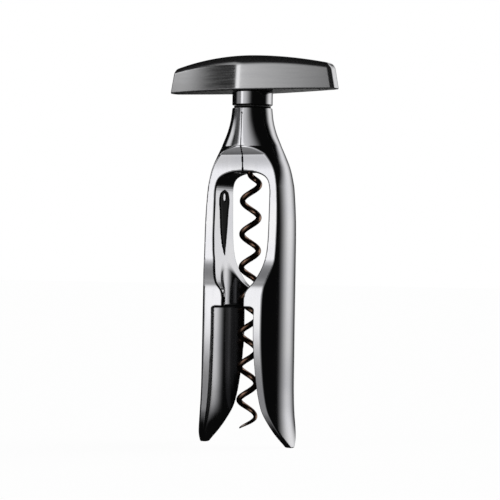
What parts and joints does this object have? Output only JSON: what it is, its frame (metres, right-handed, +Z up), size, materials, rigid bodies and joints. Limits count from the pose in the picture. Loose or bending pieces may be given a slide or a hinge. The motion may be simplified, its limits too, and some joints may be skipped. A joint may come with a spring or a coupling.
{
  "type": "self-pulling table corkscrew",
  "caption": "Self-pulling corkscrew: T handle and long worm turn in a bottle-shaped frame whose legs squeeze onto the bottle neck.",
  "frame": {"origin": "centre of the bounding box at its lowest face, on the spindle axis at the level of the leg tips", "axes": "+X along the handle to the right, +Y towards the back, +Z up the spindle axis"},
  "size_m": [0.0834, 0.0278, 0.1684],
  "materials": {
    "black_nickel": "polished black nickel plate",
    "handle_lacquer": "satin gloss black",
    "guide_plastic": "gloss black",
    "bush_plastic": "matt black",
    "spring_steel": "turned steel",
    "screw_steel": "bright steel",
    "worm_coating": "bronze-brown low-friction coating"
  },
  "bodies": {
    "core": {"pivot_yoke": "spring_steel", "neck_bush": "bush_plastic", "left_pivot_pin": "spring_steel", "right_pivot_pin": "spring_steel", "left_leaf_spring": "spring_steel", "right_leaf_spring": "spring_steel"},
    "left_leg": {"left_frame_half": "black_nickel", "left_cork_guide": "guide_plastic"},
    "right_leg": {"right_frame_half": "black_nickel", "right_cork_guide": "guide_plastic"},
    "lift_ring": {"thrust_washer": "bush_plastic"},
    "handle": {"handle_shell": "handle_lacquer", "handle_base_plate": "guide_plastic", "handle_collar": "black_nickel", "left_plate_screw": "screw_steel", "right_plate_screw": "screw_steel", "spindle": "spring_steel", "handle_cross_pin": "spring_steel", "worm": "worm_coating", "worm_grub_screw": "screw_steel"}
  },
  "joints": [
    {"name": "handle_lift", "type": "slide", "parent": "core", "child": "lift_ring", "axis": [0, 0, 1], "range_m": [0, 0.053]},
    {"name": "handle_turn", "type": "hinge", "parent": "lift_ring", "child": "handle", "pos_m": [0, 0, 0.147], "axis": [0, 0, 1], "continuous": true},
    {"name": "left_leg_squeeze", "type": "hinge", "parent": "core", "child": "left_leg", "pos_m": [-0.0082, 0, 0.132], "axis": [0, -1, 0], "range_deg": [0, 1.1], "stiffness_Nm_per_rad": 20},
    {"name": "right_leg_squeeze", "type": "hinge", "parent": "core", "child": "right_leg", "pos_m": [0.0082, 0, 0.132], "axis": [0, 1, 0], "range_deg": [0, 1.1], "stiffness_Nm_per_rad": 20}
  ],
  "couplings": [
    {"joint": "right_leg_squeeze", "follows": "left_leg_squeeze", "ratio": 1}
  ]
}
